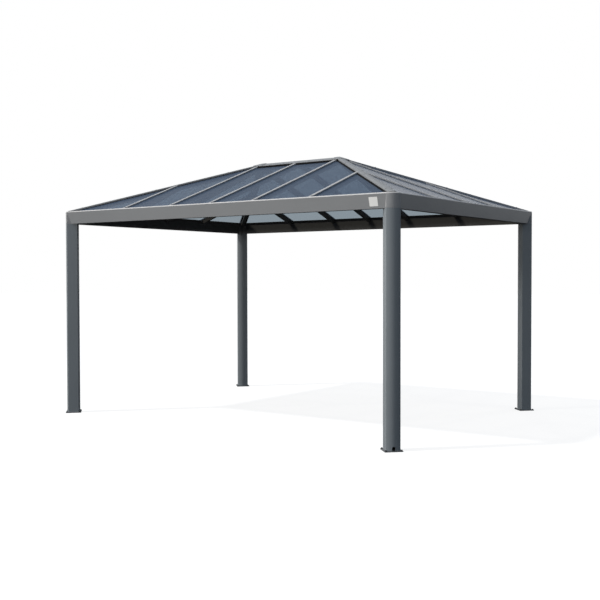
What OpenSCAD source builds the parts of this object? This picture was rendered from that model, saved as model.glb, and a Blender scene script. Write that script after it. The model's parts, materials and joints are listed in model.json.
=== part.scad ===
// Hip-roofed garden gazebo: four hollow posts on bolted base plates carry a ring of
// gutter beams, and a frame of hips, ridge and rafters holds tinted sheet panels.
// Millimetres. +X runs along the long eave, +Z is up, and the ground is at z = 0.
// The origin is on the ground under the middle of the roof.

/* [Eaves and roof] */
// Length of the roof at the long eave, over the gutter lips
eave_length = 4064; // [3400:2:5200]
// Width of the roof at the short eave, over the gutter lips
eave_width = 3044; // [2400:2:3300]
// Height of the gutter lips above the ground
eave_height = 2140; // [1900:10:2600]
// Pitch of all four slopes, in degrees
roof_pitch = 20; // [14:1:30]
// How far the plane of the rafter tops lies below the lips at the eave line
roof_drop = 12; // [6:1:20]
// How far the panels and rafters stay back from the eave line, over the gutter
roof_setback = 49; // [38:1:64]

/* [Posts] */
// Radius of the rounded outer and inner face of a post
post_radius = 130; // [110:1:180]
// Width of a post between its two flat sides
post_width = 123; // [110:1:142]
// Length of the two flat sides of a post
post_flat = 104; // [80:1:120]
// Wall of the post tube
post_wall = 3; // [2:0.5:5]

/* [Base plates] */
// Side of the square base plate
plate_side = 156; // [150:1:220]
// Thickness of the base plate
plate_thickness = 8; // [5:0.5:15]
// Circle through the four anchor holes
anchor_circle = 190; // [186:1:196]
// Diameter of an anchor hole
anchor_hole = 10.5; // [8:0.5:13]
// Height of the tube on the plate that the post slips over
spigot_height = 40; // [20:1:45]
// Wall of that tube
spigot_wall = 4; // [2:0.5:6]

/* [Gutter beams] */
// Height of a gutter beam, from its underside to the top of its lip
beam_height = 130; // [115:1:170]
// Depth of a gutter beam from the eave line inwards
beam_depth = 92; // [80:1:106]
// Wall of the gutter beam
beam_wall = 3; // [2:0.5:5]
// How far the foot of the front face stands in from its top
face_lean = 32; // [0:1:38]
// Diameter of the rolled lip along the top of the front face
lip_diameter = 20; // [12:1:24]
// Height of the closed chamber under the trough
chamber_height = 60; // [40:1:70]

/* [Gutter corners] */
// Wall of the corner casting
corner_wall = 6; // [5:0.5:8]
// How far the casting reaches down into the post
corner_tongue = 60; // [30:1:120]
// Diameter of the hole that lets water down into the post
corner_drain = 50; // [30:1:60]
// Height of the groove at the foot of the casting, over the post
seam_height = 3; // [1:0.5:6]
// Depth of that groove
seam_depth = 1.5; // [0.5:0.5:2]
// Gap between pieces that are fitted together
fit_gap = 0.3; // [0.2:0.05:0.6]

/* [Rafters] */
// Distance of the jack rafters from the eave corner, along both eaves
jack_inset = 884; // [600:1:1020]
// Width of a rafter
rafter_width = 34; // [30:1:60]
// Depth of the box of a rafter under the panels
rafter_depth = 40; // [25:1:44]
// Wall of the rafter box
rafter_wall = 3; // [2:0.5:5]
// Thickness of the flange over the panels
flange_thickness = 4; // [3:0.5:6]
// Height of the sealing strip between flange and panel
seal_height = 8; // [4:0.5:10]
// Thickness of the lips turned down along both edges of the flange
flange_lip = 3; // [2:0.5:5]
// Gap under those lips, for the edge of the sealing strip
lip_gap = 2; // [1:0.5:3]
// Width of the upright that joins flange and box
web_width = 10; // [6:1:14]

/* [Panels] */
// Thickness of the roof panels
panel_thickness = 6; // [4:0.5:10]
// Room for growth between a panel's edge and the upright beside it
panel_gap = 1; // [0.5:0.5:3]

/* [Hips and ridge] */
// Width of the hip and ridge boxes
hip_width = 40; // [34:1:60]
// Depth of a hip rafter below the line of the rafter tops
hip_depth = 62; // [50:1:75]
// Half the width of the cover over a hip
hip_cover_reach = 36; // [30:1:60]
// Depth of the ridge beam below the line of the rafter tops
ridge_depth = 72; // [60:1:90]
// Half the width of the cover over the ridge
ridge_cover_reach = 84; // [60:1:110]
// Half the width of the flat crown along a hip cover
cover_crown = 10; // [4:1:14]
// Thickness of the hip and ridge covers
cover_thickness = 4.5; // [4:0.5:8]
// How far a ridge end cover runs down the short slope
end_cover_reach = 125; // [100:1:160]
// How far a ridge end cover runs back along the ridge
end_cover_lap = 60; // [40:1:100]
// Width of the blunt tip of a ridge end cover
end_cover_tip = 44; // [20:1:60]
// Thickness of a ridge end cover
end_cover_thickness = 4; // [3:0.5:6]

/* [Drain] */
// Width of the drain mouth at the foot of each post
drain_width = 28; // [16:1:36]
// Height of the drain mouth above the base plate, to the top of its arch
drain_height = 36; // [24:1:80]

/* [Hidden] */
$fn = 96;
half_length = eave_length / 2;
half_width = eave_width / 2;
ridge_half = half_length - half_width;
beam_bottom = eave_height - beam_height;
roof_line = eave_height - roof_drop;
rise = tan(roof_pitch);
hip_pitch = atan(rise / sqrt(2));
hip_fold = sin(hip_pitch);
hip_stretch = sqrt(1 + hip_fold * hip_fold);
ridge_stretch = 1 / cos(roof_pitch);
ridge_height = roof_line + rise * half_width;
jack_long = half_length - jack_inset;
jack_short = half_width - jack_inset;

post_half = post_width / 2;
flat_half = post_flat / 2;
arc_shift = sqrt(post_radius * post_radius - post_half * post_half) - flat_half;
post_inset = (flat_half + post_half) / sqrt(2);
post_apex = post_radius - arc_shift;
corner_inset = post_width / sqrt(2);

panel_top = flange_thickness + seal_height;
panel_seat = panel_top + panel_thickness;
inner_top = roof_line - eave_height + beam_height
    + rise * (beam_depth - beam_wall) - panel_seat * ridge_stretch - 2 * fit_gap;
lip_radius = lip_diameter / 2;
trough_floor = chamber_height + beam_wall;
hip_half = hip_width / 2;
web_half = web_width / 2;
sheet_edge = web_half + panel_gap;
reach = eave_length + eave_width;
// How far a cutter runs past the face that it cuts
overshoot = 1;

frame_grey = [0.45, 0.46, 0.47];
cover_grey = [0.55, 0.56, 0.58];
plate_grey = [0.30, 0.31, 0.32];
sheet_tint = [0.36, 0.41, 0.48, 0.6];

// The four slopes and eaves, each as the turn about Z from the front one
front = 0;
right = 90;
back = 180;
left = 270;

// Distance from the middle of the roof to the eave line of a slope
function eave_reach(side) = (side == front || side == back) ? half_width : half_length;

// Half the length of the eave of a slope
function eave_half(side) = (side == front || side == back) ? half_length : half_width;

// Positions of the rafters along the eave of a slope, from left to right
function rafter_places(side) = (side == front || side == back)
    ? [-jack_long, -ridge_half, 0, ridge_half, jack_long]
    : [-jack_short, 0, jack_short];

// Puts children at a post, with +X along the outward diagonal
module at_post(side_x, side_y) {
    translate([side_x * (half_length - post_inset), side_y * (half_width - post_inset), 0])
        rotate([0, 0, atan2(side_y, side_x)])
            children();
}

// Puts children at an eave: +X along it, +Y inwards from the eave line
module at_eave(side) {
    rotate([0, 0, side])
        translate([0, -eave_reach(side), 0])
            children();
}

// Puts children on a slope: +Y runs up it and +Z is square to it, zero at the rafter tops
module on_slope(side) {
    at_eave(side)
        translate([0, 0, roof_line])
            rotate([roof_pitch, 0, 0])
                children();
}

// Puts children on a hip: +Y runs up along it from the eave corner
module on_hip(side_x, side_y) {
    translate([side_x * half_length, side_y * half_width, roof_line])
        rotate([0, 0, atan2(side_y, side_x) + 90])
            rotate([hip_pitch, 0, 0])
                children();
}

// Outline of a post in plan, drawn in by an inset all round
module post_outline(inset = 0) {
    intersection() {
        translate([-arc_shift, 0])
            circle(post_radius - inset);
        translate([arc_shift, 0])
            circle(post_radius - inset);
        square([2 * post_radius, post_width - 2 * inset], center = true);
    }
}

// Wall of a post in plan, between two insets
module post_ring(outer, inner) {
    difference() {
        post_outline(outer);
        post_outline(inner);
    }
}

// Upright prism over the part of a slope between its eave, its hips and the ridge
module slope_area(side, eave_gap, hip_gap, ridge_gap) {
    hip_step = hip_gap * sqrt(2);
    top = min(eave_reach(side) - ridge_gap, eave_half(side) - hip_step);
    low_half = eave_half(side) - hip_step - eave_gap;
    top_half = eave_half(side) - hip_step - top;
    crown = top_half > 0 ? [[top_half, top], [-top_half, top]] : [[0, top]];
    at_eave(side)
        linear_extrude(eave_height + reach)
            polygon(concat([[-low_half, eave_gap], [low_half, eave_gap]], crown));
}

// Flat slab over a whole slope, from one height above the rafter tops to another
module slope_slab(side, bottom, top) {
    on_slope(side)
        translate([-reach, -reach, bottom])
            cube([2 * reach, 2 * reach, top - bottom]);
}

// Upright strip of a given half width along the line of a hip, on its own side of the ridge
module hip_strip(side_x, side_y, half) {
    intersection() {
        translate([side_x * ridge_half, 0, 0])
            rotate([0, 0, atan2(side_y, side_x)])
                translate([-half, -half, 0])
                    cube([reach, 2 * half, eave_height + reach]);
        translate([-reach, side_y > 0 ? 0 : -reach, 0])
            cube([2 * reach, reach, eave_height + reach]);
    }
}

// Arched mouth through the outer face of a post, where rainwater runs out
module drain_mouth() {
    straight = drain_height - drain_width / 2;
    translate([0, -drain_width / 2, plate_thickness])
        cube([2 * post_radius, drain_width, straight]);
    translate([0, 0, plate_thickness + straight])
        rotate([0, 90, 0])
            cylinder(d = drain_width, h = 2 * post_radius);
}

// Hollow post standing on its base plate, with a drain mouth at its foot
module post(side_x, side_y) {
    color(frame_grey)
        at_post(side_x, side_y)
            difference() {
                translate([0, 0, plate_thickness])
                    linear_extrude(beam_bottom - plate_thickness)
                        post_ring(0, post_wall);
                drain_mouth();
            }
}

// Square plate with four anchor holes and the tube that the post slips over
module base_plate(side_x, side_y) {
    spigot_inset = post_wall + fit_gap;
    color(plate_grey)
        at_post(side_x, side_y) {
            difference() {
                translate([-plate_side / 2, -plate_side / 2, 0])
                    cube([plate_side, plate_side, plate_thickness]);
                for (turn = [45, 135, 225, 315])
                    rotate([0, 0, turn])
                        translate([anchor_circle / 2, 0, -overshoot])
                            cylinder(d = anchor_hole, h = plate_thickness + 2 * overshoot);
            }
            difference() {
                translate([0, 0, plate_thickness])
                    linear_extrude(spigot_height)
                        post_ring(spigot_inset, spigot_inset + spigot_wall);
                drain_mouth();
            }
        }
}

// Cast corner that continues the post, joins two gutters and drains them into the post
module gutter_corner(side_x, side_y) {
    lip_level = beam_height - lip_radius;
    tongue_inset = post_wall + fit_gap;
    color(frame_grey)
        at_post(side_x, side_y)
            translate([0, 0, beam_bottom]) {
                linear_extrude(trough_floor)
                    post_ring(seam_depth, corner_wall);
                translate([0, 0, seam_height])
                    linear_extrude(trough_floor - seam_height)
                        post_ring(0, corner_wall);
                translate([0, 0, chamber_height])
                    linear_extrude(beam_wall)
                        difference() {
                            post_outline(corner_wall / 2);
                            circle(d = corner_drain);
                        }
                translate([0, 0, seam_height])
                    linear_extrude(lip_level - seam_height)
                        intersection() {
                            post_ring(0, corner_wall);
                            translate([0, -post_width])
                                square([2 * post_radius, 2 * post_width]);
                        }
                translate([0, 0, seam_height])
                    linear_extrude(inner_top - seam_height)
                        intersection() {
                            post_ring(0, corner_wall);
                            translate([-2 * post_radius - flat_half, -post_width])
                                square([2 * post_radius, 2 * post_width]);
                        }
                translate([0, 0, -corner_tongue])
                    linear_extrude(corner_tongue + corner_wall)
                        post_ring(tongue_inset, corner_wall);
                translate([0, 0, lip_level])
                    corner_lip();
            }
}

// Rolled lip round the outer face of a corner, cut where the gutter's own lip begins
module corner_lip() {
    intersection() {
        translate([-arc_shift, 0, 0])
            rotate([0, 0, -45])
                rotate_extrude(angle = 90)
                    translate([post_radius - lip_radius, 0])
                        circle(lip_radius);
        cube([4 * post_radius, post_width, 2 * lip_diameter], center = true);
    }
}

// Gutter in section, from the eave line inwards: leaning face, chamber, trough and lip
module gutter_profile() {
    lip_level = beam_height - lip_radius;
    lean = face_lean / lip_level;
    polygon([
        [face_lean, 0], [face_lean + beam_wall, 0],
        [beam_wall, lip_level], [0, lip_level]
    ]);
    translate([face_lean, 0])
        square([beam_depth - face_lean, beam_wall]);
    translate([beam_depth - beam_wall, 0])
        square([beam_wall, inner_top]);
    polygon([
        [face_lean - lean * chamber_height + beam_wall / 2, chamber_height],
        [beam_depth - beam_wall / 2, chamber_height],
        [beam_depth - beam_wall / 2, trough_floor],
        [face_lean - lean * trough_floor + beam_wall / 2, trough_floor]
    ]);
    translate([lip_radius, lip_level])
        circle(lip_radius);
}

// Gutter beam along one eave, cut at both ends to fit against the corners
module gutter(side) {
    color(frame_grey)
        difference() {
            at_eave(side)
                translate([0, 0, beam_bottom])
                    rotate([90, 0, 90])
                        linear_extrude(2 * (eave_half(side) - corner_inset), center = true)
                            gutter_profile();
            for (side_x = [-1, 1], side_y = [-1, 1])
                at_post(side_x, side_y)
                    translate([0, 0, beam_bottom - overshoot])
                        linear_extrude(beam_height + 2 * overshoot)
                            post_outline(-fit_gap);
        }
}

// Section of a rafter: flange with turned-down lips, and upright, over the panels
module rafter_top_profile() {
    translate([-rafter_width / 2, -flange_thickness])
        square([rafter_width, flange_thickness]);
    for (edge = [-rafter_width / 2, rafter_width / 2 - flange_lip])
        translate([edge, lip_gap - panel_top])
            square([flange_lip, panel_top - lip_gap]);
    translate([-web_half, -panel_seat])
        square([web_width, panel_seat]);
}

// Section of a rafter: hollow box under the panels, with the root of the upright
module rafter_box_profile() {
    difference() {
        translate([-rafter_width / 2, -panel_seat - rafter_depth])
            square([rafter_width, rafter_depth]);
        translate([-rafter_width / 2 + rafter_wall, -panel_seat - rafter_depth + rafter_wall])
            square([rafter_width - 2 * rafter_wall, rafter_depth - 2 * rafter_wall]);
    }
    translate([-web_half, -panel_seat - rafter_wall / 2])
        square([web_width, panel_seat]);
}

// Rafter up a slope at one place along its eave, cut to the gutter, the hips and the ridge
module rafter(side, place) {
    color(cover_grey) {
        intersection() {
            slope_bar(side, place)
                rafter_top_profile();
            slope_area(side, roof_setback, sheet_edge, sheet_edge);
        }
        intersection() {
            slope_bar(side, place)
                rafter_box_profile();
            slope_area(side, beam_depth + fit_gap, hip_half, hip_half);
        }
    }
}

// Straight bar of a section up the whole of a slope
module slope_bar(side, place) {
    on_slope(side)
        translate([place, reach / 2, 0])
            rotate([90, 0, 0])
                linear_extrude(reach)
                    children();
}

// Section of a hip rafter: folded top for two slopes, upright, and hollow box
module hip_profile() {
    seat = panel_seat * hip_stretch;
    bore_half = hip_half - rafter_wall;
    bore_top = (panel_seat + rafter_wall) * hip_stretch;
    difference() {
        polygon([
            [0, 0],
            [web_half, -hip_fold * web_half],
            [web_half, -hip_fold * web_half - seat],
            [hip_half, -hip_fold * hip_half - seat],
            [hip_half, -hip_depth],
            [-hip_half, -hip_depth],
            [-hip_half, -hip_fold * hip_half - seat],
            [-web_half, -hip_fold * web_half - seat],
            [-web_half, -hip_fold * web_half]
        ]);
        polygon([
            [0, -bore_top],
            [bore_half, -bore_top - hip_fold * bore_half],
            [bore_half, -hip_depth + rafter_wall],
            [-bore_half, -hip_depth + rafter_wall],
            [-bore_half, -bore_top - hip_fold * bore_half]
        ]);
    }
}

// Bar of a section along a hip from its eave corner to past the ridge
module hip_bar(side_x, side_y) {
    on_hip(side_x, side_y)
        translate([0, eave_width, 0])
            rotate([90, 0, 0])
                linear_extrude(eave_width + overshoot)
                    children();
}

// Upright block over the inside of the eaves, in from the eave line by a margin
module inside_eaves(margin) {
    translate([margin - half_length, margin - half_width, 0])
        cube([eave_length - 2 * margin, eave_width - 2 * margin, eave_height + reach]);
}

// Hip rafter from a gutter corner to the ridge, its box cut back to the casting
module hip_rafter(side_x, side_y) {
    box_top = panel_seat * hip_stretch;
    color(frame_grey)
        difference() {
            intersection() {
                hip_bar(side_x, side_y)
                    hip_profile();
                hip_strip(side_x, side_y, hip_half);
                inside_eaves(roof_setback);
            }
            intersection() {
                on_hip(side_x, side_y)
                    translate([-hip_width, -reach, -box_top - 2 * hip_depth])
                        cube([2 * hip_width, 2 * reach, 2 * hip_depth]);
                at_post(side_x, side_y)
                    translate([-post_apex - fit_gap, -hip_width, 0])
                        cube([reach, 2 * hip_width, 2 * eave_height]);
            }
        }
}

// Folded cover over a hip with a flat crown, lying on the rafter flanges
module hip_cover(side_x, side_y) {
    lift = cover_thickness * hip_stretch;
    fall = hip_fold * hip_cover_reach;
    crown = lift - hip_fold * cover_crown;
    color(cover_grey)
        intersection() {
            hip_bar(side_x, side_y)
                polygon([
                    [0, 0], [hip_cover_reach, -fall], [hip_cover_reach, lift - fall],
                    [cover_crown, crown], [-cover_crown, crown],
                    [-hip_cover_reach, lift - fall], [-hip_cover_reach, -fall]
                ]);
            hip_strip(side_x, side_y, 2 * hip_cover_reach);
            inside_eaves(roof_setback);
            translate([side_x > 0 ? ridge_half - hip_half : -reach - ridge_half + hip_half, -reach, 0])
                cube([reach, 2 * reach, eave_height + reach]);
        }
}

// Section of the ridge beam, like a hip's with a steeper fold
module ridge_profile() {
    seat = panel_seat * ridge_stretch;
    bore_half = hip_half - rafter_wall;
    bore_top = (panel_seat + rafter_wall) * ridge_stretch;
    difference() {
        polygon([
            [0, 0],
            [web_half, -rise * web_half],
            [web_half, -rise * web_half - seat],
            [hip_half, -rise * hip_half - seat],
            [hip_half, -ridge_depth],
            [-hip_half, -ridge_depth],
            [-hip_half, -rise * hip_half - seat],
            [-web_half, -rise * web_half - seat],
            [-web_half, -rise * web_half]
        ]);
        polygon([
            [0, -bore_top],
            [bore_half, -bore_top - rise * bore_half],
            [bore_half, -ridge_depth + rafter_wall],
            [-bore_half, -ridge_depth + rafter_wall],
            [-bore_half, -bore_top - rise * bore_half]
        ]);
    }
}

// Bar of a section along the ridge line, for a given half length
module ridge_bar(half) {
    translate([0, 0, ridge_height])
        rotate([90, 0, 90])
            linear_extrude(2 * half, center = true)
                children();
}

// Ridge beam, notched at both ends where the hips meet it
module ridge_beam() {
    color(frame_grey)
        difference() {
            ridge_bar(ridge_half)
                ridge_profile();
            for (side_x = [-1, 1], side_y = [-1, 1])
                hip_strip(side_x, side_y, hip_half);
        }
}

// Folded cover along the ridge, between the hip covers
module ridge_cover() {
    lift = cover_thickness * ridge_stretch;
    fall = rise * ridge_cover_reach;
    color(cover_grey)
        ridge_bar(ridge_half - hip_half)
            polygon([
                [0, 0], [ridge_cover_reach, -fall], [ridge_cover_reach, lift - fall],
                [0, lift], [-ridge_cover_reach, lift - fall], [-ridge_cover_reach, -fall]
            ]);
}

// Three-sided cover over the meeting of the ridge and two hips, on the covers below it
module ridge_end_cover(side) {
    half = ridge_cover_reach;
    color(cover_grey)
        for (slope = [front, side, back])
            intersection() {
                slope_slab(slope, cover_thickness, cover_thickness + end_cover_thickness);
                slope_area(slope, roof_setback, 0, 0);
                rotate([0, 0, side - 90])
                    translate([ridge_half, 0, 0])
                        linear_extrude(eave_height + reach)
                            polygon([
                                [-end_cover_lap, -half], [half / 2, -half],
                                [end_cover_reach, -end_cover_tip / 2],
                                [end_cover_reach, end_cover_tip / 2],
                                [half / 2, half], [-end_cover_lap, half]
                            ]);
            }
}

// Panels of one slope, one in each bay between its rafters and hips
module roof_panels(side) {
    ends = [-eave_half(side), eave_half(side)];
    lines = concat([ends[0]], rafter_places(side), [ends[1]]);
    color(sheet_tint)
        for (bay = [0 : len(lines) - 2])
            intersection() {
                slope_slab(side, -panel_seat, -panel_top);
                slope_area(side, roof_setback, sheet_edge, sheet_edge);
                at_eave(side)
                    translate([lines[bay] + sheet_edge, 0, 0])
                        cube([lines[bay + 1] - lines[bay] - 2 * sheet_edge, reach, eave_height + reach]);
            }
}

post(-1, -1);  // front_left_post
post(1, -1);  // front_right_post
post(1, 1);  // back_right_post
post(-1, 1);  // back_left_post
base_plate(-1, -1);  // front_left_base_plate
base_plate(1, -1);  // front_right_base_plate
base_plate(1, 1);  // back_right_base_plate
base_plate(-1, 1);  // back_left_base_plate
gutter_corner(-1, -1);  // front_left_gutter_corner
gutter_corner(1, -1);  // front_right_gutter_corner
gutter_corner(1, 1);  // back_right_gutter_corner
gutter_corner(-1, 1);  // back_left_gutter_corner
gutter(front);  // front_gutter
gutter(right);  // right_gutter
gutter(back);  // back_gutter
gutter(left);  // left_gutter
hip_rafter(-1, -1);  // front_left_hip_rafter
hip_rafter(1, -1);  // front_right_hip_rafter
hip_rafter(1, 1);  // back_right_hip_rafter
hip_rafter(-1, 1);  // back_left_hip_rafter
hip_cover(-1, -1);  // front_left_hip_cover
hip_cover(1, -1);  // front_right_hip_cover
hip_cover(1, 1);  // back_right_hip_cover
hip_cover(-1, 1);  // back_left_hip_cover
ridge_beam();
ridge_cover();
ridge_end_cover(left);  // left_ridge_end_cover
ridge_end_cover(right);  // right_ridge_end_cover
rafter(front, -jack_long);  // front_left_jack_rafter
rafter(front, -ridge_half);  // front_left_rafter
rafter(front, 0);  // front_middle_rafter
rafter(front, ridge_half);  // front_right_rafter
rafter(front, jack_long);  // front_right_jack_rafter
rafter(right, -jack_short);  // right_front_jack_rafter
rafter(right, 0);  // right_middle_rafter
rafter(right, jack_short);  // right_back_jack_rafter
rafter(back, -jack_long);  // back_right_jack_rafter
rafter(back, -ridge_half);  // back_right_rafter
rafter(back, 0);  // back_middle_rafter
rafter(back, ridge_half);  // back_left_rafter
rafter(back, jack_long);  // back_left_jack_rafter
rafter(left, -jack_short);  // left_back_jack_rafter
rafter(left, 0);  // left_middle_rafter
rafter(left, jack_short);  // left_front_jack_rafter
roof_panels(front);  // front_roof_panels
roof_panels(right);  // right_roof_panels
roof_panels(back);  // back_roof_panels
roof_panels(left);  // left_roof_panels
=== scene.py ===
# %% [markdown]
# A metal garden gazebo, dressed for a studio picture.
# The construction comes in as a fixed frame of named nodes: posts, gutters, hips, rafters and roof
# sheets, already at their real size and place. Nothing here moves or reshapes them. What is left
# is what a factory and a fitter add: paint, tinted sheet, rubber seals, screws and anchor bolts.

# %% Load the frame
import json
import math

import bmesh
import bpy
from mathutils import Matrix, Vector


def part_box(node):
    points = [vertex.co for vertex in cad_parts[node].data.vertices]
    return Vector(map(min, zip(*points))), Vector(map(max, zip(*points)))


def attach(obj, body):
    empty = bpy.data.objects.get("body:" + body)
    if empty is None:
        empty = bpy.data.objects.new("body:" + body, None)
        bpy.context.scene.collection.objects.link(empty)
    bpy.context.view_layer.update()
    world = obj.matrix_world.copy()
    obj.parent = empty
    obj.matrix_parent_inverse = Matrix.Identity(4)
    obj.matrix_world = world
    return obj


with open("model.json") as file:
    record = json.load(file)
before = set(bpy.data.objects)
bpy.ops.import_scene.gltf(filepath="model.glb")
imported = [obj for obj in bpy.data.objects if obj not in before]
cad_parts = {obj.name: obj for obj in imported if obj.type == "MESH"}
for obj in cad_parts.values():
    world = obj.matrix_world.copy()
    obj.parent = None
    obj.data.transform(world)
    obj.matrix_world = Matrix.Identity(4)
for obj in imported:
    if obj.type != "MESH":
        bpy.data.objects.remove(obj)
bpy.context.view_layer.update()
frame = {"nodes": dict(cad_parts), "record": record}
nodes = frame["nodes"]
print("nodes in the frame:", len(nodes))

# %% [markdown]
# The camera.
# The picture was taken from eye height, off the right front corner, with a long lens, so upright
# edges stay nearly upright. A camera can be aimed with a Track To constraint, but a plain matrix
# is easier to read: first the roll, then the tilt from looking straight down, then the turn.

# %% Camera
CAMERA_PLACE = Vector((5.8000, -8.1949, 1.4524))
CAMERA_TURN = math.radians(35.2845)
CAMERA_DIP = math.radians(1.4715)
CAMERA_ROLL = math.radians(-0.1042)
LENS_MM = 56.084
SENSOR_MM = 36.0

view_data = bpy.data.cameras.new("view_camera")
view_data.lens = LENS_MM
view_data.sensor_width = SENSOR_MM
view_camera = bpy.data.objects.new("view_camera", view_data)
view_camera.matrix_world = (
    Matrix.Translation(CAMERA_PLACE)
    @ Matrix.Rotation(CAMERA_TURN, 4, "Z")
    @ Matrix.Rotation(math.pi / 2 - CAMERA_DIP, 4, "X")
    @ Matrix.Rotation(CAMERA_ROLL, 4, "Z")
)
bpy.context.scene.collection.objects.link(view_camera)
bpy.context.scene.camera = view_camera
print("camera at", tuple(CAMERA_PLACE), "with a lens of", LENS_MM, "mm")

# %% [markdown]
# Measures of the roof.
# Everything added later lies on one of four slopes, so it helps to have one function that turns
# "so far along the eave, so far in, so high above the rafter tops" into a point in space.
# The eave lines and the rafters' places are read from the frame's boxes; the pitch and the
# thicknesses of the layers are those of the construction.

# %% Measures and the slope function
ROOF_PITCH = math.radians(20)
ROOF_DROP = 0.012
FLANGE = 0.004
SEAL_ROOM = 0.008
SHEET = 0.006
LIP_GAP = 0.002
COVER = 0.0045
HIP_COVER_REACH = 0.036
RIDGE_COVER_REACH = 0.084
BEAM_HEIGHT = 0.130
PANEL_TOP = FLANGE + SEAL_ROOM

half_width = -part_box("front_gutter")[0].y
half_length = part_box("right_gutter")[1].x
beam_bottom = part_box("front_gutter")[0].z
lip_top = beam_bottom + BEAM_HEIGHT
roof_line = lip_top - ROOF_DROP
setback = half_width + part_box("front_middle_rafter")[0].y
UP = Vector((0, 0, 1))
SIDES = {
    "front": (Vector((1, 0, 0)), Vector((0, 1, 0)), half_width, half_length),
    "right": (Vector((0, 1, 0)), Vector((-1, 0, 0)), half_length, half_width),
    "back": (Vector((-1, 0, 0)), Vector((0, -1, 0)), half_width, half_length),
    "left": (Vector((0, -1, 0)), Vector((1, 0, 0)), half_length, half_width),
}


def slope_normal(side):
    into = SIDES[side][1]
    return math.cos(ROOF_PITCH) * UP - math.sin(ROOF_PITCH) * into


def on_slope(side, along, inward, lift):
    """A point on a slope: along its eave, in from the eave line, and lifted square to the slope."""
    run, into, reach, _ = SIDES[side]
    height = roof_line + inward * math.tan(ROOF_PITCH)
    return along * run + (inward - reach) * into + height * UP + lift * slope_normal(side)


def slope_top(side, along):
    """How far in a slope runs at a place along its eave, up to its hip or the ridge."""
    _, _, reach, half = SIDES[side]
    return min(reach, half - abs(along))


print("eave lines at", round(half_length, 4), "and", round(half_width, 4), "lips at", round(lip_top, 4))

# %% [markdown]
# Small helpers for node trees.
# Shaders and Geometry Nodes are both trees of nodes with links. Two short functions, one that
# places a node and sets its inputs and one that joins two sockets, keep each recipe readable.


# %% Node helpers
def place(tree, kind, inputs=None, **settings):
    made = tree.nodes.new(kind)
    for name, value in settings.items():
        setattr(made, name, value)
    for name, value in (inputs or {}).items():
        made.inputs[name].default_value = value
    return made


def join(tree, source, target):
    tree.links.new(source, target)


def new_group(name, kind, inputs, outputs):
    """A node group with named sockets; gives the tree, its input node and its output node."""
    tree = bpy.data.node_groups.new(name, kind)
    for label, socket_type in inputs:
        tree.interface.new_socket(label, in_out="INPUT", socket_type=socket_type)
    for label, socket_type in outputs:
        tree.interface.new_socket(label, in_out="OUTPUT", socket_type=socket_type)
    return tree, tree.nodes.new("NodeGroupInput"), tree.nodes.new("NodeGroupOutput")


# %% [markdown]
# Shared effects.
# Powder coat is sprayed as dry powder and baked, so it flows into a fine orange peel and is never
# quite even in gloss. The same coat is on every metal piece, so its grain is one shader group.
# Fine outdoor dust settles on whatever faces up; a second group masks it by the surface normal,
# from none on faces as low as one number to all on faces as high as another. Turned up strong, the
# same mask is also painted light: it makes faces paler to stand in for light the lamps don't give.
# Both read Object coordinates, so the grain has one scale over the whole gazebo.

# %% Coat grain group
FLOAT = "NodeSocketFloat"
grain_group, given, made = new_group(
    "Coat grain", "ShaderNodeTree",
    [("Peel per metre", FLOAT), ("Patches per metre", FLOAT)],
    [("Peel", FLOAT), ("Patch", FLOAT)],
)
spot = place(grain_group, "ShaderNodeTexCoord")
peel = place(grain_group, "ShaderNodeTexNoise", {"Detail": 2.0, "Roughness": 0.55})
patch = place(grain_group, "ShaderNodeTexNoise", {"Detail": 3.0, "Roughness": 0.6})
for texture, label in ((peel, "Peel"), (patch, "Patch")):
    join(grain_group, spot.outputs["Object"], texture.inputs["Vector"])
    join(grain_group, texture.outputs["Fac"], made.inputs[label])
join(grain_group, given.outputs["Peel per metre"], peel.inputs["Scale"])
join(grain_group, given.outputs["Patches per metre"], patch.inputs["Scale"])
print("shader group:", grain_group.name)

# %% Settled dust and painted light group
dust_and_light_group, given, made = new_group(
    "Dust and painted light mask", "ShaderNodeTree",
    [("Amount", FLOAT), ("Specks per metre", FLOAT), ("Bare below", FLOAT), ("Full above", FLOAT)],
    [("Mask", FLOAT)],
)
spot = place(dust_and_light_group, "ShaderNodeTexCoord")
specks = place(dust_and_light_group, "ShaderNodeTexNoise", {"Detail": 4.0, "Roughness": 0.65})
facing = place(dust_and_light_group, "ShaderNodeNewGeometry")
split = place(dust_and_light_group, "ShaderNodeSeparateXYZ")
upward = place(dust_and_light_group, "ShaderNodeMapRange")
cover = place(dust_and_light_group, "ShaderNodeMath", operation="MULTIPLY")
amount = place(dust_and_light_group, "ShaderNodeMath", operation="MULTIPLY")
join(dust_and_light_group, spot.outputs["Object"], specks.inputs["Vector"])
join(dust_and_light_group, given.outputs["Specks per metre"], specks.inputs["Scale"])
join(dust_and_light_group, facing.outputs["Normal"], split.inputs["Vector"])
join(dust_and_light_group, split.outputs["Z"], upward.inputs["Value"])
join(dust_and_light_group, given.outputs["Bare below"], upward.inputs["From Min"])
join(dust_and_light_group, given.outputs["Full above"], upward.inputs["From Max"])
join(dust_and_light_group, upward.outputs["Result"], cover.inputs[0])
join(dust_and_light_group, specks.outputs["Fac"], cover.inputs[1])
join(dust_and_light_group, cover.outputs["Value"], amount.inputs[0])
join(dust_and_light_group, given.outputs["Amount"], amount.inputs[1])
join(dust_and_light_group, amount.outputs["Value"], made.inputs["Mask"])
print("shader group:", dust_and_light_group.name)

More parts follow.
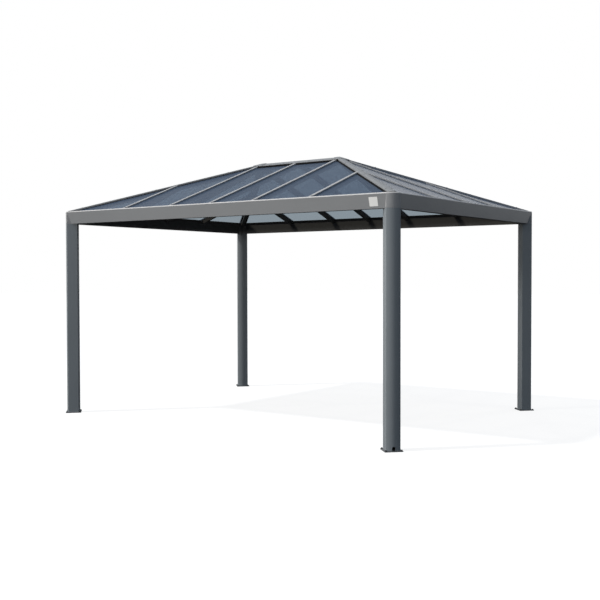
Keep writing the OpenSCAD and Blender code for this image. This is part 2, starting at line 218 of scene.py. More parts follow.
# %% [markdown]
# Painted metal.
# The frame is extruded aluminium in a satin grey powder coat, a little bluer on the posts. A single
# colour would look like plastic, so the patch noise shifts tone and gloss by a few per cent and the
# peel noise raises a bump a few hundredths of a millimetre high. The gutters, the rafters and the
# hip covers' lips on the short slopes get a much stronger pale mask. On the gutters it is settled
# dust and a painted highlight on their upward faces; on the rafters and lips it is mostly painted
# light with a little dust, paler sides that stand in for light the lamps leave out. The base
# plates and bolts get darker coats from the same recipe, and the roof sheet starts from it too.

# %% Powder coat recipe
DUST_AND_LIGHT_COLOUR = (0.49, 0.48, 0.47, 1.0)
COAT_TONES = (0.95, 1.05)
COAT_GLOSS_SPREAD = 0.07
COAT_GRAIN = {"Peel per metre": 650.0, "Patches per metre": 2.5}
COAT_SPECKS = 30.0
COAT_BUMP = {"Strength": 0.6, "Distance": 0.00004}


def shade(colour, factor):
    return tuple(channel * factor for channel in colour) + (1.0,)


def group_node(tree, group, inputs):
    made = place(tree, "ShaderNodeGroup", node_tree=group)
    for name, value in inputs.items():
        made.inputs[name].default_value = value
    return made


def dust_and_light_inputs(amount, specks, bare_below, full_above):
    return {
        "Amount": amount, "Specks per metre": specks,
        "Bare below": bare_below, "Full above": full_above,
    }


def dust_and_light_material(name, colour, tones, specular, gloss_range, grain_values, dust_and_light_values, bump_values):
    """A material whose tone, gloss and bump follow the coat grain, with a pale mask over it that is
    settled dust, and painted light where it is strong.
    """
    material = bpy.data.materials.new(name)
    material.use_nodes = True
    tree = material.node_tree
    shader = tree.nodes["Principled BSDF"]
    shader.inputs["Specular IOR Level"].default_value = specular
    grain = group_node(tree, grain_group, grain_values)
    settled_and_lit = group_node(tree, dust_and_light_group, dust_and_light_values)
    tone = place(tree, "ShaderNodeMix", data_type="RGBA")
    tone.inputs["A"].default_value = shade(colour, tones[0])
    tone.inputs["B"].default_value = shade(colour, tones[1])
    dust_and_light_mix = place(tree, "ShaderNodeMix", data_type="RGBA")
    dust_and_light_mix.inputs["B"].default_value = DUST_AND_LIGHT_COLOUR
    gloss = place(tree, "ShaderNodeMapRange", {"To Min": gloss_range[0], "To Max": gloss_range[1]})
    bump = place(tree, "ShaderNodeBump", bump_values)
    join(tree, grain.outputs["Patch"], tone.inputs["Factor"])
    join(tree, tone.outputs["Result"], dust_and_light_mix.inputs["A"])
    join(tree, settled_and_lit.outputs["Mask"], dust_and_light_mix.inputs["Factor"])
    join(tree, dust_and_light_mix.outputs["Result"], shader.inputs["Base Color"])
    join(tree, grain.outputs["Patch"], gloss.inputs["Value"])
    join(tree, gloss.outputs["Result"], shader.inputs["Roughness"])
    join(tree, grain.outputs["Peel"], bump.inputs["Height"])
    join(tree, bump.outputs["Normal"], shader.inputs["Normal"])
    return material


def powder_coat(name, colour, roughness, specular, dust_and_light, dust_and_light_from=-0.1, dust_and_light_full=1.0):
    gloss_range = (roughness - COAT_GLOSS_SPREAD, roughness + COAT_GLOSS_SPREAD)
    dust_and_light_values = dust_and_light_inputs(dust_and_light, COAT_SPECKS, dust_and_light_from, dust_and_light_full)
    return dust_and_light_material(
        name, colour, COAT_TONES, specular, gloss_range, COAT_GRAIN, dust_and_light_values, COAT_BUMP)


FRAME_GREY = (0.235, 0.238, 0.240)
POST_GREY = (0.202, 0.220, 0.231)
PLATE_GREY = (0.120, 0.124, 0.128)
BOLT_BLACK = (0.020, 0.020, 0.021)
SATIN = 0.42
frame_paint = powder_coat("frame_paint", FRAME_GREY, SATIN, 0.08, 0.03)
post_paint = powder_coat("post_paint", POST_GREY, SATIN, 0.10, 0.03)
# The gutter mask is settled dust and a painted highlight on the upward faces. The rafter and edge masks
# are mostly painted light with a little dust: they pale the sides the lamps leave in shade.
gutter_paint = powder_coat("gutter_paint", FRAME_GREY, SATIN, 0.10, 2.6, dust_and_light_from=-0.01, dust_and_light_full=0.07)
rafter_paint = powder_coat("rafter_paint", FRAME_GREY, SATIN, 0.08, 1.15, dust_and_light_from=-1.6)
edge_paint = powder_coat("edge_paint", FRAME_GREY, SATIN, 0.08, 2.4, dust_and_light_from=-1.0, dust_and_light_full=0.0)
plate_paint = powder_coat("plate_paint", PLATE_GREY, 0.52, 0.3, 0.06)
bolt_coat = powder_coat("bolt_coat", BOLT_BLACK, 0.45, 0.4, 0.0)
paints = (frame_paint, post_paint, gutter_paint, rafter_paint, edge_paint, plate_paint, bolt_coat)
print("paints:", *(paint.name for paint in paints))

# %% [markdown]
# Tinted roof sheet. Clear sheet with a blue grey tint lets part of the light through in a straight
# line, and the rest shines back from its face. The mix follows the angle: seen flat on you look
# through the sheet, at a glancing angle you see its surface. A Fresnel node would turn its index
# over on back faces and close the sheet from below, so the share of surface is a power of Facing,
# and only on the outer face, which has the coat against sunlight. Light that passes is weakened
# more than the view, as by the ribs inside such sheet, and most of all where it comes in flat. So
# shadow rays and bounced rays meet a denser mix: the space under the roof is dark, and the rafters
# still throw a shadow on the beams.

# %% Roof sheet material
SHEET_TINT = (0.615, 0.67, 0.71, 1.0)
SUN_TINT = (0.68, 0.66, 0.62, 1.0)
SHEET_BODY = (0.054, 0.080, 0.127)
SHEET_TONES = (0.92, 1.08)
SHEET_SPECULAR = 0.085
SHEET_GLOSS = (0.18, 0.28)
SHEET_GRAIN = {"Peel per metre": 14.0, "Patches per metre": 1.6}
SHEET_DUST = dust_and_light_inputs(0.02, 18.0, -0.1, 1.0)
SHEET_WAVE = {"Strength": 0.25, "Distance": 0.0006}
SHEET_HAZE = 0.20
SHEET_GLANCE = 1.0
GLANCE_POWER = 2.5
SUN_STOP = 0.43
FLAT_SUN_STOP = 0.97
FLAT_SUN = (0.43, 0.56)
SKY_STOP = 0.96

roof_sheet = dust_and_light_material(
    "roof_sheet", SHEET_BODY, SHEET_TONES, SHEET_SPECULAR, SHEET_GLOSS,
    SHEET_GRAIN, SHEET_DUST, SHEET_WAVE)
tree = roof_sheet.node_tree
shader = tree.nodes["Principled BSDF"]
output = tree.nodes["Material Output"]
through = place(tree, "ShaderNodeBsdfTransparent")
passing = place(tree, "ShaderNodeMix", data_type="RGBA")
passing.inputs["A"].default_value = SHEET_TINT
passing.inputs["B"].default_value = SUN_TINT
angle = place(tree, "ShaderNodeLayerWeight", {"Blend": 0.5})
glance = place(tree, "ShaderNodeMath", operation="POWER")
glance.inputs[1].default_value = GLANCE_POWER
under = place(tree, "ShaderNodeNewGeometry")
outside = place(tree, "ShaderNodeMath", operation="SUBTRACT")
outside.inputs[0].default_value = 1.0
surface = place(tree, "ShaderNodeMath", operation="MULTIPLY")
which_way = place(tree, "ShaderNodeSeparateXYZ")
upper = place(tree, "ShaderNodeMath", operation="GREATER_THAN")
upper.inputs[1].default_value = 0.0
coated = place(tree, "ShaderNodeMath", operation="MULTIPLY")
haze = place(tree, "ShaderNodeMapRange", {"To Min": SHEET_HAZE, "To Max": SHEET_GLANCE})
ray = place(tree, "ShaderNodeLightPath")
sun_angle = place(tree, "ShaderNodeMapRange", {
    "From Min": FLAT_SUN[0], "From Max": FLAT_SUN[1], "To Min": SUN_STOP, "To Max": FLAT_SUN_STOP})
sun_stop = place(tree, "ShaderNodeMath", operation="MULTIPLY")
sky_stop = place(tree, "ShaderNodeMath", operation="MULTIPLY")
sky_stop.inputs[1].default_value = SKY_STOP
either_stop = place(tree, "ShaderNodeMath", operation="MAXIMUM")
density = place(tree, "ShaderNodeMath", operation="MAXIMUM")
blend = place(tree, "ShaderNodeMixShader")
join(tree, ray.outputs["Is Shadow Ray"], passing.inputs["Factor"])
join(tree, passing.outputs["Result"], through.inputs["Color"])
join(tree, angle.outputs["Facing"], sun_angle.inputs["Value"])
join(tree, ray.outputs["Is Shadow Ray"], sun_stop.inputs[0])
join(tree, sun_angle.outputs["Result"], sun_stop.inputs[1])
join(tree, ray.outputs["Is Diffuse Ray"], sky_stop.inputs[0])
join(tree, sun_stop.outputs["Value"], either_stop.inputs[0])
join(tree, sky_stop.outputs["Value"], either_stop.inputs[1])
join(tree, angle.outputs["Facing"], glance.inputs[0])
join(tree, under.outputs["Backfacing"], outside.inputs[1])
join(tree, glance.outputs["Value"], surface.inputs[0])
join(tree, outside.outputs["Value"], surface.inputs[1])
join(tree, under.outputs["Normal"], which_way.inputs["Vector"])
join(tree, which_way.outputs["Z"], upper.inputs[0])
join(tree, surface.outputs["Value"], coated.inputs[0])
join(tree, upper.outputs["Value"], coated.inputs[1])
join(tree, coated.outputs["Value"], haze.inputs["Value"])
join(tree, haze.outputs["Result"], density.inputs[0])
join(tree, either_stop.outputs["Value"], density.inputs[1])
join(tree, density.outputs["Value"], blend.inputs["Fac"])
join(tree, through.outputs["BSDF"], blend.inputs[1])
join(tree, shader.outputs["BSDF"], blend.inputs[2])
join(tree, blend.outputs["Shader"], output.inputs["Surface"])
print("sheet:", roof_sheet.name)

# %% [markdown]
# Rubber and the blank plate.
# The broad seals are black extruded rubber, matt, with a faint bloom, and the thin ones under the
# rafter caps are grey. The small plate on the front gutter is a plain off-white one with nothing
# on it.

# %% Rubber and plate materials
RUBBER_BLACK = (0.008, 0.008, 0.009)
RUBBER_GREY = (0.240, 0.245, 0.250)
OFF_WHITE = (0.74, 0.73, 0.70)
seal_rubber = powder_coat("seal_rubber", RUBBER_BLACK, 0.72, 0.04, 0.0)
cap_rubber = powder_coat("cap_rubber", RUBBER_GREY, 0.70, 0.15, 0.02)
blank_white = powder_coat("blank_white", OFF_WHITE, 0.55, 0.3, 0.0)
print("small finishes:", seal_rubber.name, cap_rubber.name, blank_white.name)

# %% [markdown]
# Coats on the frame.
# A node from the frame keeps its mesh. It only needs its material slot filled, chosen by the name
# of the node.


# %% Paint the frame
def is_rafter(name):
    return name.endswith("_rafter") and "_hip_" not in name


def coat_for(name):
    if name.endswith("roof_panels"):
        return roof_sheet
    if name.endswith("base_plate"):
        return plate_paint
    if name.endswith("_post"):
        return post_paint
    if "gutter" in name:
        return gutter_paint
    if is_rafter(name):
        return rafter_paint
    return frame_paint


for name, node in nodes.items():
    node.data.materials.clear()
    node.data.materials.append(coat_for(name))
print("coated", len(nodes), "nodes")

# %% [markdown]
# Rubber seals, trims and other strips.
# Many pieces here are one section pushed along straight lines: the seals under the rafter caps,
# under the hip and ridge covers, and the closing strips on the sheets' lower edges. They could be
# extruded one by one, but one Geometry Nodes tree does them all: it turns loose edges into curves,
# keeps each curve's section level with Set Curve Normal, tilts it where the piece lies on a slope,
# sweeps a rounded rectangle and gives it its material.

# %% Strip tree
strip_tree, given, made = new_group(
    "Strip along lines", "GeometryNodeTree",
    [("Lines", "NodeSocketGeometry"), ("Width", FLOAT), ("Height", FLOAT), ("Corner", FLOAT),
     ("Tilt", FLOAT), ("Material", "NodeSocketMaterial")],
    [("Strip", "NodeSocketGeometry")],
)
as_curve = place(strip_tree, "GeometryNodeMeshToCurve")
level = place(strip_tree, "GeometryNodeSetCurveNormal", mode="Z_UP")
tilted = place(strip_tree, "GeometryNodeSetCurveTilt")
section = place(strip_tree, "GeometryNodeCurvePrimitiveQuadrilateral")
rounded = place(strip_tree, "GeometryNodeFilletCurve", {"Count": 2}, mode="POLY")
sweep = place(strip_tree, "GeometryNodeCurveToMesh", {"Fill Caps": True})
solid = place(strip_tree, "GeometryNodeRealizeInstances")
finish = place(strip_tree, "GeometryNodeSetMaterial")
join(strip_tree, given.outputs["Lines"], as_curve.inputs["Mesh"])
join(strip_tree, as_curve.outputs["Curve"], level.inputs["Curve"])
join(strip_tree, given.outputs["Width"], section.inputs["Width"])
join(strip_tree, given.outputs["Height"], section.inputs["Height"])
join(strip_tree, section.outputs["Curve"], rounded.inputs["Curve"])
join(strip_tree, given.outputs["Corner"], rounded.inputs["Radius"])
join(strip_tree, level.outputs["Curve"], tilted.inputs["Curve"])
join(strip_tree, given.outputs["Tilt"], tilted.inputs["Tilt"])
join(strip_tree, tilted.outputs["Curve"], sweep.inputs["Curve"])
join(strip_tree, rounded.outputs["Curve"], sweep.inputs["Profile Curve"])
join(strip_tree, sweep.outputs["Mesh"], solid.inputs["Geometry"])
join(strip_tree, solid.outputs["Geometry"], finish.inputs["Geometry"])
join(strip_tree, given.outputs["Material"], finish.inputs["Material"])
join(strip_tree, finish.outputs["Geometry"], made.inputs["Strip"])
print("geometry tree:", strip_tree.name)


# %% Helpers that run a tree and keep a plain mesh
def run_tree(name, source, tree, values):
    """Runs a Geometry Nodes tree on a source mesh and keeps the result as a plain piece."""
    worker = bpy.data.objects.new(name + "_source", source)
    bpy.context.scene.collection.objects.link(worker)
    modifier = worker.modifiers.new("tree", "NODES")
    modifier.node_group = tree
    for item in tree.interface.items_tree:
        if item.in_out == "INPUT" and item.name in values:
            modifier[item.identifier] = values[item.name]
    depsgraph = bpy.context.evaluated_depsgraph_get()
    mesh = bpy.data.meshes.new_from_object(worker.evaluated_get(depsgraph))
    bpy.data.objects.remove(worker)
    mesh.name = name
    piece = bpy.data.objects.new(name, mesh)
    bpy.context.scene.collection.objects.link(piece)
    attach(piece, "root")
    print(name, "has", len(mesh.polygons), "faces")


def line_mesh(name, lines):
    """A mesh of loose edges, one for each pair of points."""
    mesh = bpy.data.meshes.new(name)
    points = [point for line in lines for point in line]
    edges = [(2 * i, 2 * i + 1) for i in range(len(lines))]
    mesh.from_pydata(points, edges, [])
    return mesh


def strip(name, lines, width, height, corner, material, tilt=0.0):
    values = {"Width": width, "Height": height, "Corner": corner, "Material": material, "Tilt": tilt}
    run_tree(name, line_mesh(name + "_lines", lines), strip_tree, values)


# %% [markdown]
# Seals under the rafter caps.
# Each rafter holds its two sheets with a cap whose edges turn down, and a grey seal shows as a thin
# line under both edges. The rafters' places are read from their boxes, and the seals stop
# under the hip or ridge cover.

# %% Rafter seals
SEAL_WIDTH = 0.006
SEAL_INSET = 0.0005
SEAL_CORNER = 0.0008
COVER_MARGIN = 0.030


def rafter_line(node):
    """The slope that a rafter is on, its place along the eave and half the width of its cap."""
    side = node.split("_")[0]
    run = SIDES[side][0]
    low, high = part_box(node)
    return side, (low + high).dot(run) / 2, abs((high - low).dot(run)) / 2


rafters = [name for name in sorted(nodes) if is_rafter(name)]
seal_lines = []
for node in rafters:
    side, place_along, half_cap = rafter_line(node)
    for edge in (-1, 1):
        along = place_along + edge * (half_cap - SEAL_INSET - SEAL_WIDTH / 2)
        top = slope_top(side, along) - COVER_MARGIN
        lift = LIP_GAP / 2 - PANEL_TOP
        foot = on_slope(side, along, setback + SEAL_INSET, lift)
        seal_lines.append((foot, on_slope(side, along, top, lift)))
strip("rafter_seals", seal_lines, SEAL_WIDTH, LIP_GAP, SEAL_CORNER, cap_rubber)

# %% [markdown]
# Seals under the hip and ridge covers.
# The covers bridge the last sheets, so the room under their edges is deeper: cap plus seal. Under
# the ridge cover the rubber fills that room and ends in a flat black skirt, which is painted shadow:
# a dark band that stands in for the shade under the cover's edge. A hip cover has a painted lip that
# is turned down, and on the long slopes the rubber under it is a flat skirt that lies on the sheet
# and shows as a black border. On a slope a hip runs at 45 degrees in plan, so a line that keeps its
# distance from the hip is found by taking that distance times the root of two off the place along
# the eave. Each line runs with the uphill side on its left, so one tilt lays all sections on their
# slopes.

# %% Cover seals
ROOT_TWO = math.sqrt(2)
HIP_TILT = math.asin(math.sin(ROOF_PITCH) / ROOT_TWO)
SKIRT = (0.030, 0.0020)
SKIRT_OUT = 0.020
COVER_LIP = (0.0025, 0.0092)
CLOSED_LIP = (0.0025, 0.0112)
LIP_CORNER = 0.0006
RIDGE_SEAL = (0.016, 0.0114)
RIDGE_SEAL_OUT = 0.008
RIDGE_SEAL_CORNER = 0.0015
RIDGE_SHADOW_SKIRT = (0.034, 0.0020)


def hip_lines(sides, reach_out, lift, stop):
    """Lines along the hips on these sides, so far from the hip, up to so far from the slope's top."""
    lines = []
    for side in sides:
        _, _, reach, half = SIDES[side]
        offset = reach_out * ROOT_TWO
        top = min(reach, half) - (stop if half > reach else offset)
        for end in (-1, 1):
            foot = on_slope(side, end * (half - setback - offset), setback, lift)
            peak = on_slope(side, end * (half - top - offset), top, lift)
            lines.append((foot, peak) if end < 0 else (peak, foot))
    return lines


def ridge_lines(reach_out, lift, hip_reach):
    """A line on each long slope, so far down from the ridge, between its hips."""
    lines = []
    for side, (_, _, reach, half) in SIDES.items():
        if half > reach:
            inward = reach - reach_out
            end = half - inward - hip_reach * ROOT_TWO
            lines.append((on_slope(side, -end, inward, lift), on_slope(side, end, inward, lift)))
    return lines


skirt_middle = HIP_COVER_REACH + SKIRT_OUT - SKIRT[0] / 2
ridge_middle = RIDGE_COVER_REACH + RIDGE_SEAL_OUT - RIDGE_SEAL[0] / 2
lip_middle = HIP_COVER_REACH - COVER_LIP[0] / 2
ridge_shadow_skirt_middle = RIDGE_COVER_REACH + RIDGE_SEAL_OUT + RIDGE_SHADOW_SKIRT[0] / 2
long_slopes = [side for side, (_, _, reach, half) in SIDES.items() if half > reach]
strip("hip_skirts", hip_lines(long_slopes, skirt_middle, SKIRT[1] / 2 - PANEL_TOP, ridge_middle),
      SKIRT[0], SKIRT[1], SEAL_CORNER, seal_rubber, HIP_TILT)
# The ridge skirts are painted shadow: black rubber laid where the ridge cover's shade falls.
strip("ridge_shadow_skirts", ridge_lines(ridge_shadow_skirt_middle, RIDGE_SHADOW_SKIRT[1] / 2 - PANEL_TOP, skirt_middle),
      RIDGE_SHADOW_SKIRT[0], RIDGE_SHADOW_SKIRT[1], SEAL_CORNER, seal_rubber, ROOF_PITCH)
strip("ridge_seals", ridge_lines(ridge_middle, RIDGE_SEAL[1] / 2 - PANEL_TOP, skirt_middle),
      RIDGE_SEAL[0], RIDGE_SEAL[1], RIDGE_SEAL_CORNER, seal_rubber, ROOF_PITCH)
short_slopes = [side for side in SIDES if side not in long_slopes]
strip("hip_cover_lips", hip_lines(long_slopes, lip_middle, -COVER_LIP[1] / 2, RIDGE_COVER_REACH),
      COVER_LIP[0], COVER_LIP[1], LIP_CORNER, frame_paint, HIP_TILT)
# The lips on the short slopes face away from the key light; their pale edge coat is painted light.
strip("hip_cover_end_lips", hip_lines(short_slopes, lip_middle, -CLOSED_LIP[1] / 2, RIDGE_COVER_REACH),
      CLOSED_LIP[0], CLOSED_LIP[1], LIP_CORNER, edge_paint, HIP_TILT)

# %% [markdown]
# Closing strips on the sheets.
# The lower edge of each sheet is closed by a small painted strip over the gutter, so that nothing
# gets into the sheet. One strip lies in each bay, between two rafters or a rafter and a hip.

# %% Sheet closing strips
STRIP_DEPTH = 0.003
STRIP_OVERLAP = 0.004
STRIP_HEIGHT = SHEET + STRIP_OVERLAP
STRIP_CORNER = 0.0008
BAY_MARGIN = 0.020
closing_lines = []
for side, (_, _, _, half) in SIDES.items():
    places = sorted(rafter_line(node)[1] for node in rafters if node.split("_")[0] == side)
    hip_edge = half - setback - ROOT_TWO * HIP_COVER_REACH / 2
    marks = [-hip_edge] + places + [hip_edge]
    inward = setback - STRIP_DEPTH / 2
    lift = -PANEL_TOP - SHEET / 2
    for first, second in zip(marks, marks[1:]):
        closing_lines.append((
            on_slope(side, first + BAY_MARGIN, inward, lift),
            on_slope(side, second - BAY_MARGIN, inward, lift),
        ))
strip("sheet_closing_strips", closing_lines, STRIP_DEPTH, STRIP_HEIGHT, STRIP_CORNER,
      frame_paint)

# %% [markdown]
# Rests for the sheets.
# Inside the ring of gutters, a flat profile on the top of each inner wall carries the sheets between
# two rafters. From below it is the dark line between the beam and the bright sheet. It lies at the
# pitch of the roof, so its section is tilted.

# %% Sheet rests
BEAM_DEPTH = 0.092
REST = (0.018, 0.003)
REST_CORNER = 0.0006
REST_CLEAR = 0.0005
RAFTER_HALF = 0.017
HIP_HALF = 0.020
rest_lines = []
for side, (_, _, _, half) in SIDES.items():
    places = sorted(rafter_line(node)[1] for node in rafters if node.split("_")[0] == side)
    far_edge = BEAM_DEPTH + REST[0]
    hip_edge = half - far_edge - HIP_HALF * ROOT_TWO
    marks = [-hip_edge - RAFTER_HALF] + places + [hip_edge + RAFTER_HALF]
    lift = -PANEL_TOP - SHEET - REST_CLEAR - REST[1] / 2
    inward = BEAM_DEPTH + REST_CLEAR + REST[0] * math.cos(ROOF_PITCH) / 2 + lift * math.sin(ROOF_PITCH)
    for first, second in zip(marks, marks[1:]):
        rest_lines.append((
            on_slope(side, first + RAFTER_HALF + REST_CLEAR, inward, lift),
            on_slope(side, second - RAFTER_HALF - REST_CLEAR, inward, lift),
        ))
strip("sheet_rests", rest_lines, REST[0], REST[1], REST_CORNER, frame_paint, ROOF_PITCH)

# %% [markdown]
# Screws and anchor bolts.
# A hexagon head on a washer is repeated dozens of times, so it is one small shape instanced on
# points. Each point carries the direction its head faces, as an attribute that the tree reads to
# turn the head. The export has no instances, so the tree ends by making them real.

# %% Screw tree
screw_tree, given, made = new_group(
    "Heads on points", "GeometryNodeTree",
    [("Points", "NodeSocketGeometry"), ("Head radius", FLOAT), ("Head height", FLOAT),
     ("Washer radius", FLOAT), ("Washer height", FLOAT), ("Material", "NodeSocketMaterial")],
    [("Heads", "NodeSocketGeometry")],
)
HEAD_SIDES = 6
WASHER_SIDES = 20
head = place(screw_tree, "GeometryNodeMeshCylinder", {"Vertices": HEAD_SIDES})
washer = place(screw_tree, "GeometryNodeMeshCylinder", {"Vertices": WASHER_SIDES})
half_head = place(screw_tree, "ShaderNodeMath", operation="MULTIPLY_ADD")
half_head.inputs[1].default_value = 0.5
half_washer = place(screw_tree, "ShaderNodeMath", operation="MULTIPLY")
half_washer.inputs[1].default_value = 0.5
head_shift = place(screw_tree, "ShaderNodeCombineXYZ")
washer_shift = place(screw_tree, "ShaderNodeCombineXYZ")
head_up = place(screw_tree, "GeometryNodeTransform")
washer_up = place(screw_tree, "GeometryNodeTransform")
both = place(screw_tree, "GeometryNodeJoinGeometry")
outward = place(
    screw_tree, "GeometryNodeInputNamedAttribute", {"Name": "outward"}, data_type="FLOAT_VECTOR")
turned = place(screw_tree, "FunctionNodeAlignRotationToVector", axis="Z")
spread = place(screw_tree, "GeometryNodeInstanceOnPoints")
solid = place(screw_tree, "GeometryNodeRealizeInstances")
finish = place(screw_tree, "GeometryNodeSetMaterial")
join(screw_tree, given.outputs["Head radius"], head.inputs["Radius"])
join(screw_tree, given.outputs["Head height"], head.inputs["Depth"])
join(screw_tree, given.outputs["Washer radius"], washer.inputs["Radius"])
join(screw_tree, given.outputs["Washer height"], washer.inputs["Depth"])
join(screw_tree, given.outputs["Head height"], half_head.inputs[0])
join(screw_tree, given.outputs["Washer height"], half_head.inputs[2])
join(screw_tree, given.outputs["Washer height"], half_washer.inputs[0])
for half_height, shift, raised, shape in (
    (half_head, head_shift, head_up, head),
    (half_washer, washer_shift, washer_up, washer),
):
    join(screw_tree, half_height.outputs["Value"], shift.inputs["Z"])
    join(screw_tree, shift.outputs["Vector"], raised.inputs["Translation"])
    join(screw_tree, shape.outputs["Mesh"], raised.inputs["Geometry"])
    join(screw_tree, raised.outputs["Geometry"], both.inputs["Geometry"])
join(screw_tree, outward.outputs["Attribute"], turned.inputs["Vector"])
join(screw_tree, given.outputs["Points"], spread.inputs["Points"])
join(screw_tree, both.outputs["Geometry"], spread.inputs["Instance"])
join(screw_tree, turned.outputs["Rotation"], spread.inputs["Rotation"])
join(screw_tree, spread.outputs["Instances"], solid.inputs["Geometry"])
join(screw_tree, solid.outputs["Geometry"], finish.inputs["Geometry"])
join(screw_tree, given.outputs["Material"], finish.inputs["Material"])
join(screw_tree, finish.outputs["Geometry"], made.inputs["Heads"])
print("geometry tree:", screw_tree.name)


# %% Helper for heads
def heads(name, spots, head_size, washer_size, material):
    """Heads at spots of (point, outward direction); sizes are (radius, height)."""
    mesh = bpy.data.meshes.new(name + "_points")
    mesh.from_pydata([point for point, _ in spots], [], [])
    facing = mesh.attributes.new("outward", "FLOAT_VECTOR", "POINT")
    for item, (_, direction) in zip(facing.data, spots):
        item.vector = direction
    values = {
        "Head radius": head_size[0], "Head height": head_size[1],
        "Washer radius": washer_size[0], "Washer height": washer_size[1],
        "Material": material,
    }
    run_tree(name, mesh, screw_tree, values)


# %% [markdown]
# Where the screws go.
# Hip covers are screwed down through both wings, the ridge cover likewise, and each rafter cap has
# one screw near its foot. The heads are painted with the frame, so they hardly show from afar.

# %% Cover screws
SCREW_HEAD = (0.0045, 0.0030)
SCREW_WASHER = (0.0070, 0.0012)
HIP_SCREW_STEP = 0.45
HIP_SCREW_REACH = 0.022
FIRST_HIP_SCREW = 0.09
LAST_HIP_SCREW = 0.28
RIDGE_SCREW_REACH = 0.062
RIDGE_SCREW_MARKS = (-2, -1, 1, 2)
RIDGE_MARKS_PER_HALF = 3
CAP_SCREW_IN = 0.022
screw_spots = []
for side, (_, _, reach, half) in SIDES.items():
    offset = HIP_SCREW_REACH * ROOT_TWO
    first = setback + FIRST_HIP_SCREW
    last = min(reach, half) - LAST_HIP_SCREW
    count = round((last - first) / HIP_SCREW_STEP)
    for end in (-1, 1):
        for index in range(count + 1):
            inward = first + (last - first) * index / count
            along = end * (half - inward - offset)
            screw_spots.append((on_slope(side, along, inward, COVER), slope_normal(side)))
    if half > reach:
        for mark in RIDGE_SCREW_MARKS:
            along = mark * (half - reach) / RIDGE_MARKS_PER_HALF
            spot = on_slope(side, along, reach - RIDGE_SCREW_REACH, COVER)
            screw_spots.append((spot, slope_normal(side)))
for node in rafters:
    side, along, _ = rafter_line(node)
    screw_spots.append((on_slope(side, along, setback + CAP_SCREW_IN, 0.0), slope_normal(side)))
heads("cover_screws", screw_spots, SCREW_HEAD, SCREW_WASHER, frame_paint)

# %% [markdown]
# Anchor bolts.
# Every base plate has four holes near its corners. The record of the part gives the middle and the
# hole circle of each plate, so the black bolts are placed from that.

# %% Anchor bolts
PLATE = 0.008
HOLES_PER_PLATE = 4
MM_PER_M = 1000
BOLT_HEAD = (0.0085, 0.0065)
BOLT_WASHER = (0.0105, 0.0020)
bolt_spots = []
for mount in frame["record"]["mounts"]:
    if mount["kind"] != "bolt_pattern":
        continue
    middle = Vector(mount["pos_m"])
    circle = mount["dims"]["pcd_mm"] / (2 * MM_PER_M)
    for quarter in range(HOLES_PER_PLATE):
        angle = quarter * math.pi / 2
        arm = Vector((math.cos(angle), math.sin(angle), 0))
        bolt_spots.append((middle + circle * arm + PLATE * UP, UP))
heads("anchor_bolts", bolt_spots, BOLT_HEAD, BOLT_WASHER, bolt_coat)

# %% [markdown]
# The blank plate on the front gutter.
# A thin plate with rounded corners is stuck to the leaning face of the front gutter, near the right
# corner. Its outline is made of four arcs, and it is turned to lie on the face.

# %% Blank plate
PLATE_MIDDLE_X = 1.813
PLATE_SIZE = (0.082, 0.079)
PLATE_THICK = 0.0012
PLATE_CORNER = 0.004
ARC_STEPS = 5
FACE_FOOT_INSET = 0.032
FACE_HEIGHT = 0.120
PLATE_RISE = 0.0570
PLATE_MIDDLE_Z = beam_bottom + PLATE_RISE

lean = math.atan2(FACE_FOOT_INSET, FACE_HEIGHT)
share = (PLATE_MIDDLE_Z - beam_bottom) / FACE_HEIGHT
face_inset = FACE_FOOT_INSET * (1 - share)
outline = []
for corner in range(4):
    turn = corner * math.pi / 2
    sign_x = 1 if corner in (0, 3) else -1
    sign_y = 1 if corner in (0, 1) else -1
    for step in range(ARC_STEPS + 1):
        angle = turn + step / ARC_STEPS * math.pi / 2
        outline.append((
            sign_x * (PLATE_SIZE[0] / 2 - PLATE_CORNER) + PLATE_CORNER * math.cos(angle),
            sign_y * (PLATE_SIZE[1] / 2 - PLATE_CORNER) + PLATE_CORNER * math.sin(angle),
        ))
shape = bmesh.new()
ring = [shape.verts.new((x, y, 0.0)) for x, y in outline]
face = shape.faces.new(ring)
lifted = bmesh.ops.extrude_face_region(shape, geom=[face])
top = [item for item in lifted["geom"] if isinstance(item, bmesh.types.BMVert)]
bmesh.ops.translate(shape, vec=(0, 0, PLATE_THICK), verts=top)
bmesh.ops.recalc_face_normals(shape, faces=shape.faces)
seat = (
    Matrix.Translation((PLATE_MIDDLE_X, face_inset - half_width, PLATE_MIDDLE_Z))
    @ Matrix.Rotation(math.pi / 2 + lean, 4, "X")
)
shape.transform(seat)
plate_mesh = bpy.data.meshes.new("blank_plate")
shape.to_mesh(plate_mesh)
shape.free()
plate_mesh.materials.append(blank_white)
blank_plate = bpy.data.objects.new("blank_plate", plate_mesh)
bpy.context.scene.collection.objects.link(blank_plate)
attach(blank_plate, "root")
print("blank plate leans", round(math.degrees(lean), 1), "degrees")

# %% [markdown]
# Floor, world and light.
# The picture has a clean white ground. The floor is pale for the camera, with a soft shadow, and
# darker for light that bounces, so that the undersides of the beams stay as dark as they are
# outdoors. The world is white where it is seen and a quiet blue grey where it only lights. Glossy
# rays see the white low down and less of it overhead, as under a sky that is brightest near the
# horizon.

